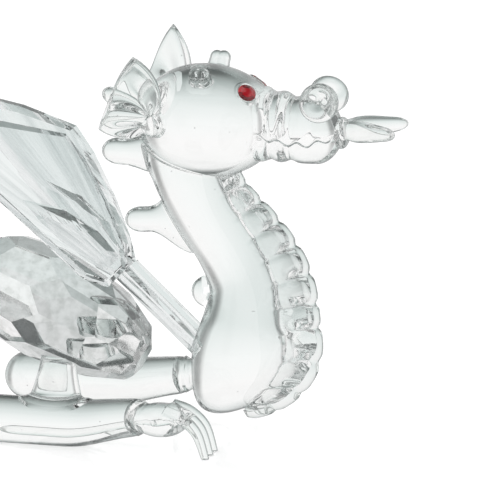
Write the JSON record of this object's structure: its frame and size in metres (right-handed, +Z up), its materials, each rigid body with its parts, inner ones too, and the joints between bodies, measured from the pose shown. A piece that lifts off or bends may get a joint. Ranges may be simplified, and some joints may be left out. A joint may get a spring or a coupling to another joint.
{
  "type": "glass dragon figurine",
  "caption": "Clear glass dragon figurine with a lampworked head, swan neck, crimped throat crest and rod feet, joined to a facet-cut crystal body and leaf-shaped crystal wings.",
  "frame": {"origin": "on the ground, under the middle of the figurine's bounding box", "axes": "+X the way the dragon faces, +Y its left side, +Z up"},
  "size_m": [0.0888, 0.0374, 0.064],
  "materials": {
    "clear_glass": "fire-polished clear glass, smooth, with a few tiny bubbles",
    "cut_crystal": "clear crystal with flat polished facets",
    "red_stone": "dark red cut stone, polished"
  },
  "bodies": {
    "root": {"head": "clear_glass", "upper_jaw": "clear_glass", "lower_jaw": "clear_glass", "tongue": "clear_glass", "neck": "clear_glass", "throat_crest": "clear_glass", "nape_fin_1": "clear_glass", "nape_fin_2": "clear_glass", "nape_fin_3": "clear_glass", "nape_fin_4": "clear_glass", "body_crystal": "cut_crystal", "tail": "clear_glass", "right_eye": "red_stone", "left_eye": "red_stone", "right_nostril": "clear_glass", "left_nostril": "clear_glass", "right_ear": "clear_glass", "left_ear": "clear_glass", "right_brow_horn": "clear_glass", "left_brow_horn": "clear_glass", "right_wing": "cut_crystal", "left_wing": "cut_crystal", "right_wing_stem": "cut_crystal", "left_wing_stem": "cut_crystal", "right_foot": "clear_glass", "left_foot": "clear_glass", "right_leg_post": "clear_glass", "left_leg_post": "clear_glass", "right_paw": "clear_glass", "left_paw": "clear_glass", "right_claw_1": "clear_glass", "right_claw_2": "clear_glass", "right_claw_3": "clear_glass", "left_claw_1": "clear_glass", "left_claw_2": "clear_glass", "left_claw_3": "clear_glass"}
  },
  "joints": []
}
